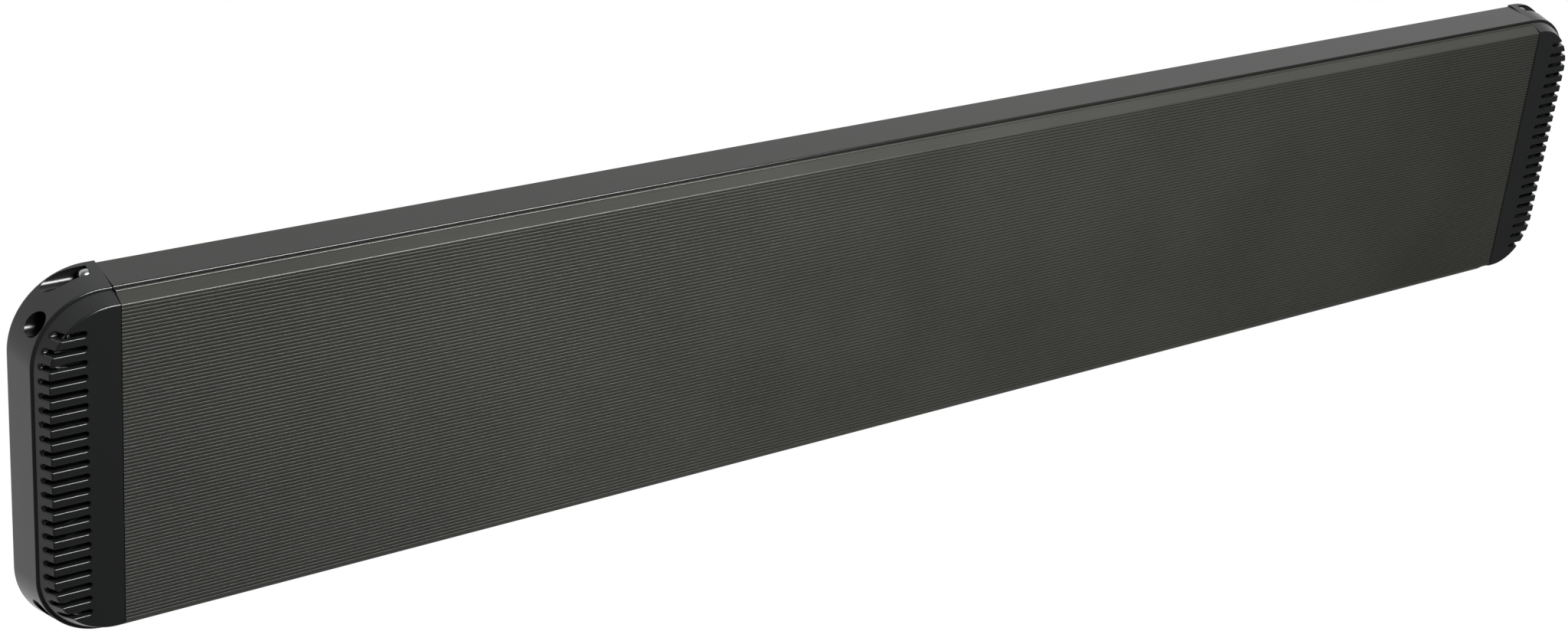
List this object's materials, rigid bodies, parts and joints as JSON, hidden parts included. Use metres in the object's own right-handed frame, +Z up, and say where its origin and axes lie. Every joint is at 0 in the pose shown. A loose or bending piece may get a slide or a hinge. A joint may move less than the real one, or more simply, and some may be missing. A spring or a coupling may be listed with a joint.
{
  "type": "radiant strip heater",
  "caption": "Wall-hung radiant strip heater with a ribbed dark face, vented rounded end caps and tilting wall brackets.",
  "frame": {"origin": "centre of the pattern of four wall screws, on the wall's plane, midway along the heater", "axes": "+X along the heater, +Y into the wall, +Z up; the heating face looks along -Y"},
  "size_m": [1.026, 0.085, 0.18],
  "materials": {
    "emitter_coat": "ribbed extrusion with a dark satin high-temperature coat",
    "housing_coat": "extrusion with a dark grey satin powder coat",
    "rail_coat": "extruded rail with the same dark grey coat",
    "cap_coat": "die casting with a dark semi-gloss coat",
    "seal_rubber": "black silicone",
    "plated_steel": "zinc-plated sheet and hardware",
    "screw_steel": "zinc-plated screws",
    "bolt_steel": "zinc-plated bolts and nuts",
    "element_sheath": "heat-tinted stainless sheath",
    "white_ceramic": "unglazed steatite",
    "reflector_aluminium": "bright rolled sheet",
    "blanket_fibre": "ceramic-fibre blanket",
    "terminal_brass": "turned brass",
    "black_plastic": "moulded nylon",
    "lead_brown": "silicone-insulated lead",
    "lead_blue": "silicone-insulated lead",
    "lead_green": "silicone-insulated lead",
    "lead_black": "silicone-insulated lead",
    "bracket_coat": "pressed steel with a black powder coat"
  },
  "bodies": {
    "wall_brackets": {"wall_bracket_left": "bracket_coat", "wall_bracket_right": "bracket_coat"},
    "heater": {"emitter_panel": "emitter_coat", "rear_housing": "housing_coat", "end_cap_left": "cap_coat", "end_cap_right": "cap_coat", "end_seal_left": "seal_rubber", "end_seal_right": "seal_rubber", "end_plate_left": "plated_steel", "end_plate_right": "plated_steel", "corner_screws_left": "screw_steel", "corner_screws_right": "screw_steel", "side_screws_left": "screw_steel", "side_screws_right": "screw_steel", "heating_element_upper": "element_sheath", "heating_element_lower": "element_sheath", "element_bushes": "white_ceramic", "element_terminals": "plated_steel", "terminal_nuts": "plated_steel", "element_clamps": "plated_steel", "clamp_screws": "screw_steel", "reflector_sheet": "reflector_aluminium", "insulation_blanket": "blanket_fibre", "terminal_plate": "plated_steel", "terminal_block": "white_ceramic", "terminal_screws": "terminal_brass", "earth_stud": "terminal_brass", "earth_nut": "terminal_brass", "thermal_cutout": "black_plastic", "cutout_screws": "plated_steel", "lead_live": "lead_brown", "lead_neutral": "lead_blue", "lead_earth": "lead_green", "lead_link_upper": "lead_black", "lead_link_lower": "lead_black", "cable_gland": "black_plastic", "gland_seal": "seal_rubber", "gland_cap": "black_plastic", "gland_locknut": "black_plastic", "mounting_rail": "rail_coat", "rail_rivets": "plated_steel", "rail_nuts": "plated_steel", "rail_bolts": "bolt_steel", "swivel_bracket_left": "bracket_coat", "swivel_bracket_right": "bracket_coat", "pivot_bolts": "bolt_steel", "pivot_nuts": "bolt_steel", "lock_bolts": "bolt_steel", "lock_nuts": "black_plastic"}
  },
  "joints": [
    {"name": "heater_tilt", "type": "hinge", "parent": "wall_brackets", "child": "heater", "pos_m": [0, -0.024, 0], "axis": [1, 0, 0], "range_deg": [-30, 30]}
  ]
}
